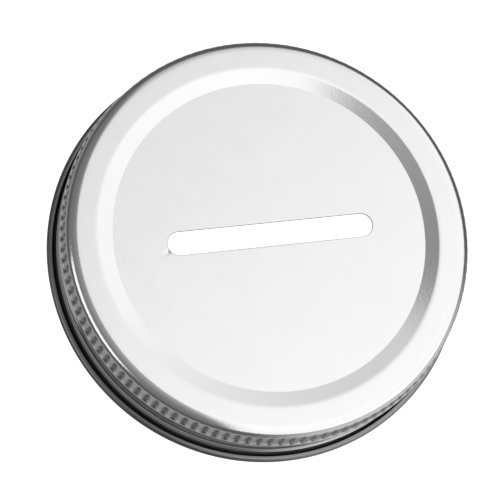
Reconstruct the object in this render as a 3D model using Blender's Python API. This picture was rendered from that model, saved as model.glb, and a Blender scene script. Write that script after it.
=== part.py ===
"""Pressed tinplate screw lid with a coin slot, for a wide-mouth jar.

Metres, +Z up. The origin is at the centre of the lid's footprint: the lid stands on
its curled rim with its top panel up, and the slot runs along X.
"""

import math

import bmesh
import bpy

# Overall sizes
RIM_RADIUS = 0.0455
LID_HEIGHT = 0.0165
SHEET = 0.0003

# Top: a recessed round panel, a sloping step up, a flat ring around it and a rounded shoulder
PANEL_DEPTH = 0.0008
STEP_WIDTH = 0.0032
FLAT_WIDTH = 0.0040
SHOULDER_WIDTH = 0.00245
SHOULDER_DROP = 0.0014
SHOULDER_STEPS = 3

# Coin slot, punched through the panel
SLOT_LENGTH = 0.0440
SLOT_WIDTH = 0.0050
SLOT_END_STEPS = 12

# Knurled grip under the shoulder: upright ribs that run down to a plain ridge
GRIP_RIBS = 120
GRIP_HEIGHT = 0.00435
GRIP_DEPTH = 0.0004
GRIP_FLARE = 0.0005
GRIP_INSET = 0.00265

# Skirt with a right-hand thread, pressed inwards, that ends at the lower left
NECK_GAP = 0.0006
THREAD_PITCH = 0.0050
THREAD_DEPTH = 0.0009
THREAD_WIDTH = 0.0038
THREAD_START = math.radians(330)
THREAD_TURN = math.radians(230)
THREAD_FADE = math.radians(28)
SKIRT_ROWS = 8

# Rim curled outwards, in flats that touch its circle, so that it stands on one of them
CURL_RADIUS = 0.00085
CURL_STEP = math.radians(45)
CURL_STEPS = 7

# Sealing ring under the flat ring of the top
SEAL_THICKNESS = 0.0010
SEAL_CORNER = 0.0002
SEAL_GAP = 0.0003

COLUMNS = 72

# Places that follow from the sizes above
gripRadius = RIM_RADIUS - GRIP_INSET
flatRadius = gripRadius - SHOULDER_WIDTH
stepRadius = flatRadius - FLAT_WIDTH
panelRadius = stepRadius - STEP_WIDTH
gripTop = LID_HEIGHT - SHOULDER_DROP
skirtTop = gripTop - GRIP_HEIGHT
skirtBottom = 2 * CURL_RADIUS + NECK_GAP
threadMiddle = (skirtTop + skirtBottom) / 2


def clearScene():
    for obj in list(bpy.data.objects):
        bpy.data.objects.remove(obj, do_unlink=True)


def makeMaterial(name, color, metallic, roughness):
    material = bpy.data.materials.new(name)
    material.use_nodes = True
    shader = material.node_tree.nodes["Principled BSDF"]
    shader.inputs["Base Color"].default_value = (*color, 1)
    shader.inputs["Metallic"].default_value = metallic
    shader.inputs["Roughness"].default_value = roughness
    return material


def meshObject(name, bm, material=None):
    bmesh.ops.recalc_face_normals(bm, faces=bm.faces)
    mesh = bpy.data.meshes.new(name)
    bm.to_mesh(mesh)
    bm.free()
    mesh.shade_smooth()
    mesh.set_sharp_from_angle(angle=math.radians(35))
    obj = bpy.data.objects.new(name, mesh)
    bpy.context.collection.objects.link(obj)
    if material:
        mesh.materials.append(material)
    return obj


def addRing(bm, point, columns=COLUMNS):
    """A ring of vertices; point gives the radius and height at an angle."""
    ring = []
    for column in range(columns):
        angle = 2 * math.pi * column / columns
        radius, height = point(angle)
        ring.append(bm.verts.new((radius * math.cos(angle), radius * math.sin(angle), height)))
    return ring


def plainRing(bm, radius, height):
    return addRing(bm, lambda angle: (radius, height))


def joinRings(bm, first, second):
    """Faces between two rings that may differ in their number of vertices."""
    if len(first) == len(second):
        for i in range(len(first)):
            j = (i + 1) % len(first)
            bm.faces.new((first[i], first[j], second[j], second[i]))
        return
    i = j = 0
    while i < len(first) or j < len(second):
        a, b = first[i % len(first)], second[j % len(second)]
        if (i + 1) * len(second) <= (j + 1) * len(first) and i < len(first):
            i += 1
            bm.faces.new((a, first[i % len(first)], b))
        else:
            j += 1
            bm.faces.new((a, second[j % len(second)], b))


def threadPress(angle, height):
    """How far the thread pushes the skirt inwards at this angle and height."""
    deepest = 0
    for lap in range(-1, 3):
        travel = angle - THREAD_START + 2 * math.pi * lap
        if not 0 < travel < THREAD_TURN:
            continue
        fade = min(travel, THREAD_TURN - travel, THREAD_FADE) / THREAD_FADE
        centre = threadMiddle + THREAD_PITCH * (travel - THREAD_TURN / 2) / (2 * math.pi)
        across = abs(height - centre) / (THREAD_WIDTH / 2)
        if across < 1:
            groove = (1 + math.cos(math.pi * across)) / 2
            deepest = max(deepest, THREAD_DEPTH * groove * math.sin(fade * math.pi / 2))
    return deepest


def topRings(bm, offset):
    """Rings from the panel's edge to the end of the shoulder, offset into the sheet."""
    top = LID_HEIGHT - offset
    width = SHOULDER_WIDTH - offset
    drop = SHOULDER_DROP - offset
    rings = [plainRing(bm, panelRadius, top - PANEL_DEPTH), plainRing(bm, stepRadius, top)]
    for step in range(SHOULDER_STEPS + 1):
        turn = math.pi / 2 * step / SHOULDER_STEPS
        radius = flatRadius + width * math.sin(turn)
        rings.append(plainRing(bm, radius, top - drop * (1 - math.cos(turn))))
    return rings


def gripRings(bm):
    """Rings of alternate ribs and hollows, and the plain ridge below them."""
    rings = []
    for down, depth in ((0.08, 0.5), (0.5, 1), (0.9, 1)):
        crest = gripRadius + GRIP_FLARE * down
        height = gripTop - GRIP_HEIGHT * down

        def ribs(angle, crest=crest, depth=depth, height=height):
            hollow = (1 - math.cos(GRIP_RIBS * angle)) / 2
            return crest - GRIP_DEPTH * depth * hollow, height

        rings.append(addRing(bm, ribs, 2 * GRIP_RIBS))
    rings.append(plainRing(bm, gripRadius + GRIP_FLARE, skirtTop))
    return rings


def skirtRings(bm, offset):
    """Rings of the threaded skirt, from the ridge down to the neck above the curl."""
    first = gripRadius + GRIP_FLARE
    last = RIM_RADIUS - 2 * CURL_RADIUS + SHEET
    rings = []
    for row in range(1, SKIRT_ROWS + 1):
        down = row / SKIRT_ROWS
        height = skirtTop + (skirtBottom - skirtTop) * down
        radius = first + (last - first) * down - offset

        def wall(angle, radius=radius, height=height):
            return radius - threadPress(angle, height), height

        rings.append(addRing(bm, wall))
    return rings


def curlRings(bm, offset):
    """Rings around the curl: down the inside, under it, and up and over its outside."""
    centre = RIM_RADIUS - CURL_RADIUS
    corner = (CURL_RADIUS - offset) / math.cos(CURL_STEP / 2)
    rings = []
    for step in range(CURL_STEPS + 1):
        turn = CURL_STEP * (step - 0.5)
        radius = centre - corner * math.cos(turn)
        rings.append(plainRing(bm, radius, CURL_RADIUS - corner * math.sin(turn)))
    return rings


def makeShell(material):
    bm = bmesh.new()
    outer = topRings(bm, 0) + gripRings(bm) + skirtRings(bm, 0)
    outer += curlRings(bm, SHEET)
    inner = topRings(bm, SHEET) + skirtRings(bm, SHEET) + curlRings(bm, 0)
    bm.faces.new(outer[0])
    bm.faces.new(reversed(inner[0]))
    for side in (outer, inner):
        for first, second in zip(side, side[1:]):
            joinRings(bm, first, second)
    joinRings(bm, outer[-1], inner[-1])
    shell = meshObject("lid_shell", bm, material)
    cut = shell.modifiers.new("coin_slot", "BOOLEAN")
    cut.operation = "DIFFERENCE"
    cut.object = makeSlotCutter()
    return shell


def makeSlotCutter():
    """A flat bar with round ends, longer than the panel is thick."""
    bm = bmesh.new()
    end = SLOT_WIDTH / 2
    centre = SLOT_LENGTH / 2 - end
    outline = []
    for side in (1, -1):
        for step in range(SLOT_END_STEPS + 1):
            turn = math.pi * step / SLOT_END_STEPS - side * math.pi / 2
            outline.append((side * centre + end * math.cos(turn), end * math.sin(turn)))
    low = LID_HEIGHT - PANEL_DEPTH - 4 * SHEET
    verts = [bm.verts.new((x, y, low)) for x, y in outline]
    face = bm.faces.new(verts)
    grown = bmesh.ops.extrude_face_region(bm, geom=[face])
    raised = [item for item in grown["geom"] if isinstance(item, bmesh.types.BMVert)]
    bmesh.ops.translate(bm, verts=raised, vec=(0, 0, 8 * SHEET))
    cutter = meshObject("slot_cutter", bm)
    cutter.hide_render = True
    cutter.display_type = "WIRE"
    return cutter


def makeSeal(material):
    """A flat ring that fills the underside between the step and the shoulder."""
    inside = stepRadius + 2 * SEAL_GAP
    outside = flatRadius
    top = LID_HEIGHT - SHEET - SEAL_GAP
    bottom = top - SEAL_THICKNESS
    profile = (
        (inside, top),
        (outside, top),
        (outside, bottom + SEAL_CORNER),
        (outside - SEAL_CORNER, bottom),
        (inside + SEAL_CORNER, bottom),
        (inside, bottom + SEAL_CORNER),
    )
    bm = bmesh.new()
    rings = [plainRing(bm, radius, height) for radius, height in profile]
    for first, second in zip(rings, rings[1:] + rings[:1]):
        joinRings(bm, first, second)
    return meshObject("sealing_gasket", bm, material)


def main():
    clearScene()
    tinplate = makeMaterial("tinplate", (0.78, 0.78, 0.77), 1.0, 0.32)
    plastisol = makeMaterial("plastisol", (0.86, 0.84, 0.78), 0.0, 0.55)
    makeShell(tinplate)
    makeSeal(plastisol)


main()
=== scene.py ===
# Pressed tinplate jar lid with a coin slot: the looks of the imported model.
import math

import bpy
from mathutils import Matrix, Vector


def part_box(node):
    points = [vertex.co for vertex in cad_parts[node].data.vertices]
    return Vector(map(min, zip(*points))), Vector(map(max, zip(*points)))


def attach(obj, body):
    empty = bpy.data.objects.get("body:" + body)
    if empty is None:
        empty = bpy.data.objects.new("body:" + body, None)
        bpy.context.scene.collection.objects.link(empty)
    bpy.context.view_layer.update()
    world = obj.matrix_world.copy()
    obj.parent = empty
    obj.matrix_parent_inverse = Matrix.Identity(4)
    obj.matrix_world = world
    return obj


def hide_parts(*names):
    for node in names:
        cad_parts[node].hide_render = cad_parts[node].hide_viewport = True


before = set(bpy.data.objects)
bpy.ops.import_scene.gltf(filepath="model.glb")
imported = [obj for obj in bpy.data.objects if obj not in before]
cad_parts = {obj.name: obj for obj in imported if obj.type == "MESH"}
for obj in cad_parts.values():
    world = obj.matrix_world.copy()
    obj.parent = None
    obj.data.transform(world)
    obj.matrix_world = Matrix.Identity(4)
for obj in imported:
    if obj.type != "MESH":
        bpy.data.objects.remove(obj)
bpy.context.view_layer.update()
mm = 0.001
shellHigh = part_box("lid_shell")[1]
sealLow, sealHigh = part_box("sealing_gasket")
rimRadius = shellHigh.x
lidHeight = shellHigh.z
print("frame loaded, lid", round(2 * rimRadius / mm, 2), "mm across")

shell = {
    "sheet": 0.30 * mm,
    "panelDepth": 0.80 * mm,
    "stepWidth": 3.2 * mm,
    "flatWidth": 3.9 * mm,
    "stepFoot": 0.45 * mm,  # radius of the crisp inner bend
    "stepBrow": 4.0 * mm,  # radius of the soft outer bend
    "shoulderWidth": 2.45 * mm,
    "shoulderDrop": 1.4 * mm,
    "gripInset": 2.75 * mm,
    "gripTilt": 8,  # degrees that the ribs lean in towards the top
    "ribs": 120,
    "ribTop": 0.55 * mm,  # where the hollows between the ribs start and end, down from the top
    "ribFoot": 5.75 * mm,
    "ribDepth": 0.42 * mm,
    "hollowShare": 0.86,  # of the width of a rib and its hollow, at the hollow's foot
    "hollowTop": 0.65,  # how wide a hollow is at its top, as a share of its foot
    "hollowClose": 0.09,  # how much of a hollow's height closes it at its foot
    "columnsPerRib": 10,
    "bead": 0.32 * mm,  # radius of the ridge under the ribs, and how far it stands proud
    "beadProud": 0.22 * mm,
    "beadArc": (20, -60),  # degrees that it runs through, from straight outwards
    "flare": (-0.12 * mm, 1.0 * mm),  # out from the ridge, and up from it, where the ribs' feet flare
    "waist": (-0.12 * mm, 0.60 * mm),  # out from the ridge, and down from it
    "knee": (-0.75 * mm, 3.85 * mm),  # out from the curl's inside, and up from the table
    "hip": (-0.45 * mm, 3.5 * mm),
    "thigh": (-0.43 * mm, 3.2 * mm),
    "neckIn": 0.30 * mm,
    "threadPitch": 5.0 * mm,
    "threadDepth": 0.9 * mm,
    "threadWidth": 3.8 * mm,
    "threadStart": math.radians(330),
    "threadTurn": math.radians(230),
    "threadEnd": 2.7 * mm,  # from the ridge down to the end of the thread
    "threadFade": math.radians(28),
    "curl": 0.85 * mm,
    "curlArc": (180, 470),  # degrees that it runs through, from the skirt under and round
    "curlThroat": 0.3 * mm,  # above the curl's centre, where the skirt runs into it
    "neckGap": 0.6 * mm,
    "slotLength": 44.0 * mm,
    "slotWidth": 5.0 * mm,
    "slotEdge": 0.07 * mm,
    # rows of points between the slot and the panel's edge, close together near both
    "panelRows": (0.01, 0.03, 0.05, 0.08, 0.12, 0.18, 0.35, 0.7, 0.92, 0.98, 0.995),
    "dent": (-22.3 * mm, -1.7 * mm),  # a small dent left by the punch at one end of the slot
    "dentWidth": 0.55 * mm,
    "dentDepth": 0.08 * mm,
}


def arcPoints(centre, radius, start, end, steps, squash=1):
    # points on an arc, angles in degrees, counted from straight outwards
    points = []
    for i in range(steps + 1):
        turn = math.radians(start + (end - start) * i / steps)
        x = centre[0] + radius * math.cos(turn)
        points.append((x, centre[1] + squash * radius * math.sin(turn)))
    return points


def linePoints(first, last, steps):
    # points between two ends, without the ends
    return [
        tuple(a + (b - a) * i / steps for a, b in zip(first, last)) for i in range(1, steps)
    ]


def ridgeRadius(s):
    # the ribs lean out from the shoulder down, and meet the ridge at this radius
    lean = math.tan(math.radians(s["gripTilt"]))
    return rimRadius - s["gripInset"] + (s["ribFoot"] - s["shoulderDrop"]) * lean


def shellProfile(s):
    # outer face of the sheet, from the panel's edge out, down and round the curl
    top = lidHeight
    gripRadius = rimRadius - s["gripInset"]
    flatRadius = gripRadius - s["shoulderWidth"]
    stepRadius = flatRadius - s["flatWidth"]
    panelRadius = stepRadius - s["stepWidth"]
    panel = top - s["panelDepth"]
    slope = math.degrees(math.atan2(s["panelDepth"], s["stepWidth"]))
    foot = s["stepFoot"] * math.tan(math.radians(slope / 2))
    brow = s["stepBrow"] * math.tan(math.radians(slope / 2))
    points = arcPoints(
        (panelRadius - foot, panel + s["stepFoot"]), s["stepFoot"], -90, -90 + slope, 4
    )
    crest = (stepRadius + brow, top - s["stepBrow"])
    points += arcPoints(crest, s["stepBrow"], 90 + slope, 90, 8)
    points += linePoints(points[-1], (flatRadius, top), 4)
    # the shoulder is part of an ellipse, up to where the ribs' lean takes over
    squash = s["shoulderDrop"] / s["shoulderWidth"]
    tilt = math.tan(math.radians(s["gripTilt"]))
    last = math.degrees(math.atan(squash * tilt))
    shoulder = (flatRadius, top - s["shoulderDrop"])
    points += arcPoints(shoulder, s["shoulderWidth"], 90, last, 20, squash)
    ridge = top - s["ribFoot"]
    flare = (ridgeRadius(s) + s["flare"][0], ridge + s["flare"][1])
    points += linePoints(points[-1], flare, 28) + [flare]
    bead = (ridgeRadius(s) + s["beadProud"] - s["bead"], ridge)
    lip = arcPoints(bead, s["bead"], *s["beadArc"], 8)
    points += linePoints(flare, lip[0], 7) + lip
    inside = rimRadius - 2 * s["curl"] + s["sheet"]
    waist = (ridgeRadius(s) + s["waist"][0], ridge - s["waist"][1])
    knee, hip, thigh = [(inside + s[name][0], s[name][1]) for name in ("knee", "hip", "thigh")]
    neck = (inside - s["neckIn"], 2 * s["curl"] + s["neckGap"])
    points += linePoints(points[-1], waist, 3) + [waist]
    points += linePoints(waist, knee, 18) + [knee]
    points += linePoints(knee, hip, 10) + [hip]
    points += linePoints(hip, thigh, 2) + [thigh]
    points += linePoints(thigh, neck, 6) + [neck]
    centre = (rimRadius - s["curl"], s["curl"])
    points += linePoints(neck, (inside, centre[1] + s["curlThroat"]), 5)
    points += arcPoints(centre, s["curl"] - s["sheet"], *s["curlArc"], 26)
    return points


def offsetProfile(points, distance):
    # the same profile moved to the sheet's other face
    moved = []
    for i, (x, z) in enumerate(points):
        before, after = points[max(i - 1, 0)], points[min(i + 1, len(points) - 1)]
        along = Vector((after[0] - before[0], after[1] - before[1])).normalized()
        moved.append((x + along.y * distance, z - along.x * distance))
    return moved


def ribPress(s, angle, radius, height):
    # hollows between the ribs, which deepen downwards and close just above the ridge
    start, end = lidHeight - s["ribTop"], lidHeight - s["ribFoot"] + s["bead"]
    if radius < rimRadius - s["gripInset"] - s["shoulderWidth"] or not end < height < start:
        return 0
    down = (start - height) / (start - end)
    width = s["hollowShare"] * (s["hollowTop"] + (1 - s["hollowTop"]) * down)
    across = abs((s["ribs"] * angle / (2 * math.pi) + 0.5) % 1 - 0.5) / (width / 2)
    if across >= 1:
        return 0
    close = min(1, (1 - down) / s["hollowClose"])
    return s["ribDepth"] * (1 + math.cos(math.pi * across)) / 2 * down * close


def threadPress(s, angle, height):
    # right-hand thread pressed into the skirt
    last = lidHeight - s["ribFoot"] - s["bead"] - s["threadEnd"]
    deepest = 0
    for lap in range(-1, 3):
        travel = angle - s["threadStart"] + 2 * math.pi * lap
        if not 0 < travel < s["threadTurn"]:
            continue
        fade = min(travel, s["threadTurn"] - travel, s["threadFade"]) / s["threadFade"]
        centre = last + s["threadPitch"] * (travel - s["threadTurn"]) / (2 * math.pi)
        across = abs(height - centre) / (s["threadWidth"] / 2)
        if across < 1:
            groove = (1 + math.cos(math.pi * across)) / 2
            deepest = max(deepest, s["threadDepth"] * groove * math.sin(fade * math.pi / 2))
    return deepest


def slotPoint(s, share, grow):
    # a point this share of the way round the slot's outline, which is grown outwards
    end = s["slotWidth"] / 2
    straight = s["slotLength"] - s["slotWidth"]
    arc = math.pi * end
    along = (share % 1) * 2 * (straight + arc)
    pieces = (
        (arc / 2, "right"),
        (straight, "far"),
        (arc, "left"),
        (straight, "near"),
        (arc / 2, "rightEnd"),
    )
    for length, name in pieces:
        if along <= length:
            break
        along -= length
    reach = end + grow
    turn = along / end
    if name == "far":
        return straight / 2 - along, reach
    if name == "near":
        return along - straight / 2, -reach
    if name == "left":
        return -straight / 2 - reach * math.sin(turn), reach * math.cos(turn)
    if name == "rightEnd":
        turn -= math.pi / 2
    return straight / 2 + reach * math.cos(turn), reach * math.sin(turn)


sharpEdge = math.radians(50)  # an edge that turns by more than this is drawn crisp


def makePiece(name, rows):
    # a closed skin over rows of points, where every row closes and the last joins the first
    columns = len(rows[0])
    faces = []
    for r in range(len(rows)):
        a, b = r * columns, (r + 1) % len(rows) * columns
        for c in range(columns):
            d = (c + 1) % columns
            faces.append((a + c, b + c, b + d, a + d))
    mesh = bpy.data.meshes.new(name)
    mesh.from_pydata([point for row in rows for point in row], [], faces)
    mesh.shade_smooth()
    mesh.set_sharp_from_angle(angle=sharpEdge)
    piece = bpy.data.objects.new(name, mesh)
    bpy.context.collection.objects.link(piece)
    return piece


def makeShell(s):
    columns = s["ribs"] * s["columnsPerRib"]
    outer = shellProfile(s)
    inner = offsetProfile(outer, s["sheet"])
    panel = outer[0][1]
    edge = s["slotEdge"]
    under = panel - s["sheet"]
    rows = []
    hollows = {}  # how deep each row lies in the hollows between the ribs

    def slotRow(grow, height):
        return [(*slotPoint(s, c / columns, grow), height) for c in range(columns)]

    def dent(x, y):
        away = math.hypot(x - s["dent"][0], y - s["dent"][1]) / s["dentWidth"]
        return s["dentDepth"] * math.exp(-away * away)

    def panelRow(share, radius, height):
        row = []
        for c in range(columns):
            x, y = slotPoint(s, c / columns, edge)
            turn = 2 * math.pi * c / columns
            x += (radius * math.cos(turn) - x) * share
            y += (radius * math.sin(turn) - y) * share
            row.append((x, y, height - dent(x, y)))
        return row

    def roundRow(radius, height):
        row, depths = [], []
        for c in range(columns):
            turn = 2 * math.pi * c / columns
            hollow = ribPress(s, turn, radius, height)
            pressed = radius - threadPress(s, turn, height) - hollow
            row.append((pressed * math.cos(turn), pressed * math.sin(turn), height))
            depths.append(hollow / s["ribDepth"])
        hollows[len(rows)] = depths
        rows.append(row)

    # the slot's rounded edges, from its wall out to the panel's face and to its underside
    edgeTurns = [math.radians(turn) for turn in (0, 30, 60, 90)]
    lips = [(edge - edge * math.sin(turn), edge - edge * math.cos(turn)) for turn in edgeTurns]
    rows += [slotRow(grow, panel - drop) for grow, drop in reversed(lips)]
    rows += [panelRow(share, outer[0][0], panel) for share in s["panelRows"]]
    for point in outer + inner[::-1]:
        roundRow(*point)
    rows += [panelRow(share, inner[0][0], under) for share in reversed(s["panelRows"])]
    rows += [slotRow(grow, under + drop) for grow, drop in lips]

    piece = makePiece("lidShell", rows)
    depths = [depth for r in range(len(rows)) for depth in hollows.get(r, [0] * columns)]
    piece.data.attributes.new("hollow", "FLOAT", "POINT").data.foreach_set("value", depths)
    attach(piece, "root")
    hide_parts("lid_shell")
    return piece


seal = {
    "width": 3.6 * mm,
    "lip": 0.28 * mm,  # radius of its rounded lips
    "dome": 0.12 * mm,  # depth of the dish where the jar's mouth presses
    "columns": 240,
    # the compound's inner lip wanders as it flowed: two waves, their size, count and start
    "waves": ((0.05 * mm, 7, 0), (0.025 * mm, 21, 1)),
}


def makeSeal(s):
    # a flowed-in ring with rounded lips and a shallow dish
    outside, inside = sealHigh.x, sealHigh.x - s["width"]
    low, high = sealLow.z, sealHigh.z
    lip, dish, waves = s["lip"], s["width"] - 2 * s["lip"], s["waves"]
    profile = [(inside, high), (outside, high)]
    profile += arcPoints((outside - lip, low + lip), lip, 0, -90, 5)
    for i in range(1, 10):
        deep = s["dome"] * math.sin(math.pi * i / 10)
        profile.append((outside - lip - dish * i / 10, low + deep))
    profile += arcPoints((inside + lip, low + lip), lip, -90, -180, 5)
    rows = []
    for radius, height in profile:
        row = []
        for c in range(s["columns"]):
            turn = 2 * math.pi * c / s["columns"]
            wander = sum(size * math.sin(count * turn + start) for size, count, start in waves)
            reach = radius + (wander if radius < inside + lip else 0)
            row.append((reach * math.cos(turn), reach * math.sin(turn), height))
        rows.append(row)
    piece = makePiece("sealingRing", rows)
    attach(piece, "root")
    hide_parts("sealing_gasket")
    return piece


def linear(code):
    # an sRGB hex colour as linear red, green, blue and alpha
    values = [int(code[i : i + 2], 16) / 255 for i in (1, 3, 5)]
    return [v / 12.92 if v <= 0.04045 else ((v + 0.055) / 1.055) ** 2.4 for v in values] + [1]


def addNode(tree, kind, settings=None, **inputs):
    # one node with its settings; an input, by name or number, takes a value, a socket or a node,
    # which stands for its first output in use
    node = tree.nodes.new(kind)
    for name, value in (settings or {}).items():
        setattr(node, name, value)
    for name, value in inputs.items():
        number = name.removeprefix("i")
        socket = node.inputs[int(number) if number.isdigit() else name.replace("_", " ")]
        if isinstance(value, bpy.types.Node):
            value = next(output for output in value.outputs if output.enabled)
        if isinstance(value, bpy.types.NodeSocket):
            tree.links.new(value, socket)
        else:
            socket.default_value = value
    return node


def startMaterial(name):
    material = bpy.data.materials.new(name)
    material.use_nodes = True
    tree = material.node_tree
    tree.nodes.clear()
    return material, tree


tin = {
    "color": "#eaeaea",
    "roughness": 0.11,
    "noiseSpan": (0.3, 0.7),  # most of an uneven pattern lies between these levels
    "grain": 0.25 * mm,  # real grain is finer, but would be lost at this distance
    "grainRough": 0.05,
    "streak": (9 * mm, 0.22 * mm),  # length and width of the mill's rolling streaks
    "streakSpan": (0.4, 0.7),
    "streakRough": 0.03,
    "streakTurn": math.radians(38),
    "scratch": (6 * mm, 0.12 * mm),
    "scratchTurns": (math.radians(-24), math.radians(12)),
    "scratchSpan": (0.79, 0.84),
    "scratchRough": 0.16,
    "scratchCut": -0.4,  # of the peel's height
    "rubbedSpan": (0.5, 0.62),  # scratches come in patches, where the lid has been rubbed
    "peel": 0.5 * mm,  # width and height of the tin coat's faint orange peel
    "peelHeight": 0.012 * mm,
    "peelStrength": 0.6,
    "mottle": 6 * mm,
    "mottleTone": 0.03,
    "mottleColor": "#9a9a9a",
    "rawEdge": 0.11 * mm,  # how wide the cut steel shows around the slot
    "rawColor": "#7f8082",
    "hollowShadeColor": "#575653",  # painted shade: the hollows between the ribs are darkened
    "hollowShade": 0.85,
    "hollowShadePatchy": 0.6,
    "hollowShadeSpan": (0.3, 0.6),
    "hollowRough": 0.2,
    "curlShadeColor": "#939393",  # the rolled edge is painted darker, as shade, and is scuffed and rougher
    "curlRoughness": (0.29, 0.39),
    "curlHeight": (1.95 * mm, 2.25 * mm),  # the scuffs and the painted shade fade out between these heights
}


def makeTinplate(t):
    # tinplate: bright cold-rolled steel with a tin coat, which the eye reads as soft silver
    material, tree = startMaterial("tinplate")
    place = addNode(tree, "ShaderNodeTexCoord").outputs["Object"]
    times, plus = {"operation": "MULTIPLY"}, {"operation": "ADD"}

    def marks(length, width, turn, detail):
        # uneven marks of a real length and width, turned about the lid's axis
        turned = addNode(
            tree,
            "ShaderNodeMapping",
            {"vector_type": "TEXTURE"},
            Vector=place,
            Rotation=(0, 0, turn),
            Scale=(length, width, width),
        )
        return addNode(
            tree, "ShaderNodeTexNoise", Vector=turned, Scale=1, Detail=detail, Roughness=0.6
        )

    grain = marks(t["grain"], t["grain"], 0, 2)
    streaks = marks(*t["streak"], t["streakTurn"], 2)
    mottle = marks(t["mottle"], t["mottle"], 0, 3)
    low, high = t["noiseSpan"]
    bright, dull = t["roughness"], t["roughness"] + t["grainRough"]
    rough = addNode(tree, "ShaderNodeMapRange", i0=grain, i1=low, i2=high, i3=bright, i4=dull)
    first, last = t["streakSpan"]
    streaky = addNode(
        tree, "ShaderNodeMapRange", i0=streaks, i1=first, i2=last, i4=t["streakRough"]
    )
    rough = addNode(tree, "ShaderNodeMath", plus, i0=rough, i1=streaky)

    # two families of fine scratches
    first, last = t["scratchSpan"]
    lines = []
    for turn in t["scratchTurns"]:
        pattern = marks(*t["scratch"], turn, 0)
        lines.append(addNode(tree, "ShaderNodeMapRange", i0=pattern, i1=first, i2=last))
    scratches = addNode(tree, "ShaderNodeMath", {"operation": "MAXIMUM"}, i0=lines[0], i1=lines[1])
    first, last = t["rubbedSpan"]
    rubbed = addNode(tree, "ShaderNodeMapRange", i0=mottle, i1=first, i2=last)
    scratches = addNode(tree, "ShaderNodeMath", times, i0=scratches, i1=rubbed)
    scratchy = addNode(tree, "ShaderNodeMath", times, i0=scratches, i1=t["scratchRough"])
    rough = addNode(tree, "ShaderNodeMath", plus, i0=rough, i1=scratchy)

    # the rolled edge is rougher from scuffs, and painted darker as shade, up to the height where both
    # fade out
    height = addNode(tree, "ShaderNodeSeparateXYZ", Vector=place).outputs["Z"]
    first, last = t["curlHeight"]
    rimScuffAndShade = addNode(tree, "ShaderNodeMapRange", i0=height, i1=first, i2=last, i3=1.0, i4=0.0)
    first, last = t["curlRoughness"]
    scuffs = addNode(tree, "ShaderNodeMapRange", i0=grain, i1=low, i2=high, i3=first, i4=last)
    rough = addNode(tree, "ShaderNodeMix", {"data_type": "FLOAT"}, i0=rimScuffAndShade, i2=rough, i3=scuffs)

    # painted shade darkens the hollows by their depth, and is patchy; the hollows are also rougher
    hollow = addNode(tree, "ShaderNodeAttribute", {"attribute_name": "hollow"}).outputs["Fac"]
    first, last = t["hollowShadeSpan"]
    least, most = t["hollowShadePatchy"] * t["hollowShade"], t["hollowShade"]
    patches = addNode(tree, "ShaderNodeMapRange", i0=grain, i1=first, i2=last, i3=least, i4=most)
    hollowShade = addNode(tree, "ShaderNodeMath", times, i0=hollow, i1=patches)
    hollowRoughness = addNode(tree, "ShaderNodeMath", times, i0=hollowShade, i1=t["hollowRough"])
    rough = addNode(tree, "ShaderNodeMath", plus, i0=rough, i1=hollowRoughness)

    # the punch leaves a band of cut steel around the slot: the distance from its middle line
    reach = ((shell["slotLength"] - shell["slotWidth"]) / 2, 0, 0)
    away = place
    for operation, other in (
        ("ABSOLUTE", (0, 0, 0)),
        ("SUBTRACT", reach),
        ("MAXIMUM", (0, 0, 0)),
        ("MULTIPLY", (1, 1, 0)),
        ("LENGTH", (0, 0, 0)),
    ):
        away = addNode(tree, "ShaderNodeVectorMath", {"operation": operation}, i0=away, i1=other)
    first = shell["slotWidth"] / 2 + t["rawEdge"] / 2
    last = shell["slotWidth"] / 2 + t["rawEdge"]
    cut = addNode(tree, "ShaderNodeMapRange", i0=away, i1=first, i2=last, i3=1.0, i4=0.0)

    cloudy = addNode(tree, "ShaderNodeMapRange", i0=mottle, i1=low, i2=high, i4=t["mottleTone"])
    tone = linear(t["color"])
    for share, color in (
        (cloudy, "mottleColor"),
        # painted shade in the hollows between the ribs
        (hollowShade, "hollowShadeColor"),
        # painted shade on the rolled edge
        (rimScuffAndShade, "curlShadeColor"),
        (cut, "rawColor"),
    ):
        other = linear(t[color])
        tone = addNode(tree, "ShaderNodeMix", {"data_type": "RGBA"}, i0=share, i6=tone, i7=other)

    peel = marks(t["peel"], t["peel"], 0, 2)
    cuts = addNode(tree, "ShaderNodeMath", times, i0=scratches, i1=t["scratchCut"])
    relief = addNode(tree, "ShaderNodeMath", plus, i0=peel, i1=cuts)
    bump = addNode(
        tree,
        "ShaderNodeBump",
        Strength=t["peelStrength"],
        Distance=t["peelHeight"],
        Height=relief,
    )
    shader = addNode(
        tree,
        "ShaderNodeBsdfPrincipled",
        Base_Color=tone,
        Metallic=1,
        Roughness=rough,
        Normal=bump,
    )
    addNode(tree, "ShaderNodeOutputMaterial", Surface=shader)
    return material


compound = {
    "color": "#e4dfd0",
    "roughness": 0.42,
    "flow": 3.85 * mm,  # size and height of the soft waves in its cured face
    "flowHeight": 0.08 * mm,
    "flowStrength": 0.25,
}


def makePlastisol(c):
    # plastisol: cured sealing compound, which reads as soft, slightly glossy cream rubber
    material, tree = startMaterial("plastisol")
    place = addNode(tree, "ShaderNodeTexCoord").outputs["Object"]
    flow = addNode(tree, "ShaderNodeTexNoise", Vector=place, Scale=1 / c["flow"], Detail=3)
    bump = addNode(
        tree,
        "ShaderNodeBump",
        Strength=c["flowStrength"],
        Distance=c["flowHeight"],
        Height=flow,
    )
    shader = addNode(
        tree,
        "ShaderNodeBsdfPrincipled",
        Base_Color=linear(c["color"]),
        Roughness=c["roughness"],
        Normal=bump,
    )
    addNode(tree, "ShaderNodeOutputMaterial", Surface=shader)
    return material


cameraView = {
    "azimuth": 315.8,
    "elevation": 71.34,
    "roll": 36.7,
    "distance": 336.7 * mm,
    "aside": (4.51 * mm, 3.31 * mm),  # the panel's centre, right of and above the view's axis
    "lens": 116.6,
    "sensor": 36,
    "nearest": 10 * mm,
}


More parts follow.
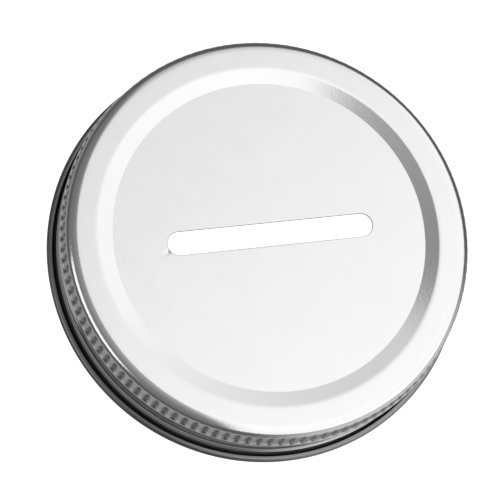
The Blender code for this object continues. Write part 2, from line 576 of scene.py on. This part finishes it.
def makeCamera(v):
    data = bpy.data.cameras.new("camera")
    data.lens = v["lens"]
    data.sensor_width = v["sensor"]
    data.clip_start = v["nearest"]
    camera = bpy.data.objects.new("camera", data)
    bpy.context.collection.objects.link(camera)
    azimuth, elevation = math.radians(v["azimuth"]), math.radians(v["elevation"])
    level = math.cos(elevation)
    back = Vector((math.sin(azimuth) * level, -math.cos(azimuth) * level, math.sin(elevation)))
    roll = Matrix.Rotation(math.radians(v["roll"]), 3, "Z")
    turn = (-back).to_track_quat("-Z", "Y").to_matrix() @ roll
    panelCentre = Vector((0, 0, lidHeight - shell["panelDepth"]))
    aside = turn @ Vector((*v["aside"], 0))
    camera.location = panelCentre - aside + back * v["distance"]
    camera.rotation_mode = "QUATERNION"
    camera.rotation_quaternion = turn.to_quaternion()
    bpy.context.scene.camera = camera


softbox = {
    "height": 1.0,  # metres above the table
    "corner": (-0.45, -1.1),
    "size": (2.1, 2.4),
    "bend": (0.06, -0.085),  # its soft left edge bends at this point
    "edgeTurns": (10, -14),  # degrees that the edge turns, behind the bend and in front of it
    "edgeBlur": 0.09,
    "glow": 0.77,  # brightness as seen in a mirror, straight above the table
    "fall": (0.55, -0.445),  # change of it for each metre along X and along Y
    "glowRange": (0.3, 0.95),
}

strip = {
    "place": (-1.13, -0.14, 0.95),
    "size": (0.95, 0.58),
    "glow": 1.1,
}


def makeLamp(name, size, glow):
    # an area lamp of this power glows as brightly as asked
    data = bpy.data.lights.new(name, "AREA")
    data.shape = "RECTANGLE"
    data.size, data.size_y = size
    data.energy = glow * math.pi * size[0] * size[1]
    lamp = bpy.data.objects.new(name, data)
    lamp.visible_camera = False
    bpy.context.collection.objects.link(lamp)
    return lamp


def makeSoftbox(b):
    # a large overhead softbox with a soft, bent edge, a little dimmer towards its far end
    lamp = makeLamp("softbox", b["size"], 1)
    (x, y), (width, depth) = b["corner"], b["size"]
    lamp.location = (x + width / 2, y + depth / 2, b["height"])
    lamp.data.use_nodes = True
    tree = lamp.data.node_tree
    tree.nodes.clear()
    place = addNode(tree, "ShaderNodeNewGeometry").outputs["Position"]
    dot = {"operation": "DOT_PRODUCT"}

    slope = addNode(tree, "ShaderNodeVectorMath", dot, i0=place, i1=(*b["fall"], 0))
    glow = addNode(tree, "ShaderNodeMath", {"operation": "ADD"}, i0=slope, i1=b["glow"])
    low, high = b["glowRange"]
    held = addNode(tree, "ShaderNodeClamp", Value=glow, Min=low, Max=high)

    # the lit part is all that lies inside one or the other of two soft straight edges
    sides = []
    for degrees in b["edgeTurns"]:
        turn = math.radians(degrees)
        inwards = Vector((math.cos(turn), math.sin(turn), 0))
        edge = inwards.dot(Vector((*b["bend"], 0)))
        within = addNode(tree, "ShaderNodeVectorMath", dot, i0=place, i1=tuple(inwards))
        side = addNode(
            tree,
            "ShaderNodeMapRange",
            {"interpolation_type": "SMOOTHSTEP"},
            i0=within,
            i1=edge - b["edgeBlur"] / 2,
            i2=edge + b["edgeBlur"] / 2,
        )
        sides.append(side)
    lit = addNode(tree, "ShaderNodeMath", {"operation": "MAXIMUM"}, i0=sides[0], i1=sides[1])
    strength = addNode(tree, "ShaderNodeMath", {"operation": "MULTIPLY"}, i0=held, i1=lit)
    shader = addNode(tree, "ShaderNodeEmission", Strength=strength)
    addNode(tree, "ShaderNodeOutputLight", Surface=shader)


def makeStrip(b):
    # a low, narrow strip lamp off to one side draws the thin bright line on the shoulder
    lamp = makeLamp("strip", b["size"], b["glow"])
    lamp.location = b["place"]
    lamp.rotation_euler = (-lamp.location).to_track_quat("-Z", "Y").to_euler()


studio = {
    "floorDrop": 0.5,
    "floorRadius": 20,
    "floorColor": "#f4f4f4",
    "floorRoughness": 0.9,
    "floorGlow": 0.75,
    # brightness of the room at these heights, from straight down, -1, to straight up, 1
    "room": (
        (-1.0, 0.06),
        (-0.93, 0.065),
        (-0.885, 0.33),
        (-0.66, 0.43),
        (-0.40, 0.25),
        (0.0, 0.12),
        (0.30, 0.10),
        (0.50, 0.15),
        (0.70, 0.20),
        (0.84, 0.20),
        (0.93, 0.25),
        (0.975, 0.31),
        (1.0, 0.38),
    ),
    "wallSide": (0.7, -0.7, 0.1),  # towards a bright wall
    "wallSpread": (0.62, 0.95),
    "wallGlow": 0.55,
}


def makeFloor(s):
    # a pale floor well below the lid, lit evenly so that it stays plain
    material, tree = startMaterial("paintedFloor")
    shader = addNode(
        tree,
        "ShaderNodeBsdfPrincipled",
        Base_Color=linear(s["floorColor"]),
        Roughness=s["floorRoughness"],
        Emission_Color=linear("#ffffff"),
        Emission_Strength=s["floorGlow"],
    )
    addNode(tree, "ShaderNodeOutputMaterial", Surface=shader)
    mesh = bpy.data.meshes.new("floor")
    r = s["floorRadius"]
    mesh.from_pydata([(-r, -r, 0), (r, -r, 0), (r, r, 0), (-r, r, 0)], [], [(0, 1, 2, 3)])
    mesh.materials.append(material)
    floor = bpy.data.objects.new("floor", mesh)
    floor.location.z = -s["floorDrop"]
    floor.visible_glossy = False
    bpy.context.collection.objects.link(floor)


def makeRoom(s):
    # the room that the metal mirrors: graded by height, with one bright wall, and plain white
    # where it is seen directly
    world = bpy.data.worlds.new("studio")
    bpy.context.scene.world = world
    world.use_nodes = True
    tree = world.node_tree
    tree.nodes.clear()
    place = addNode(tree, "ShaderNodeTexCoord").outputs["Generated"]
    height = addNode(tree, "ShaderNodeSeparateXYZ", Vector=place).outputs["Z"]
    level = addNode(tree, "ShaderNodeMapRange", i0=height, i1=-1.0, i2=1.0)
    graded = addNode(tree, "ShaderNodeValToRGB", Fac=level)
    stops = graded.color_ramp.elements
    for i, (tall, glow) in enumerate(s["room"]):
        stop = stops[i] if i < len(stops) else stops.new(1)
        stop.position = (tall + 1) / 2
        stop.color = (glow, glow, glow, 1)
    dot = {"operation": "DOT_PRODUCT"}
    beside = addNode(tree, "ShaderNodeVectorMath", dot, i0=place, i1=s["wallSide"])
    low, high = s["wallSpread"]
    wall = addNode(
        tree,
        "ShaderNodeMapRange",
        {"interpolation_type": "SMOOTHSTEP"},
        i0=beside,
        i1=low,
        i2=high,
        i4=s["wallGlow"],
    )
    glow = addNode(tree, "ShaderNodeMath", {"operation": "ADD"}, i0=graded, i1=wall)
    felt = addNode(tree, "ShaderNodeBackground", Color=linear("#ffffff"), Strength=glow)
    seen = addNode(tree, "ShaderNodeBackground", Color=linear("#ffffff"), Strength=1)
    sight = addNode(tree, "ShaderNodeLightPath").outputs["Is Camera Ray"]
    both = addNode(tree, "ShaderNodeMixShader", i0=sight, i1=felt, i2=seen)
    addNode(tree, "ShaderNodeOutputWorld", Surface=both)


bpy.context.scene.view_settings.view_transform = "Standard"
makeCamera(cameraView)
makeSoftbox(softbox)
makeStrip(strip)
makeFloor(studio)
makeRoom(studio)
print("camera, light and floor made")

lidShell = makeShell(shell)
lidShell.data.materials.append(makeTinplate(tin))
print("shell made,", len(lidShell.data.polygons), "faces")
sealingRing = makeSeal(seal)
sealingRing.data.materials.append(makePlastisol(compound))
print("sealing ring made")
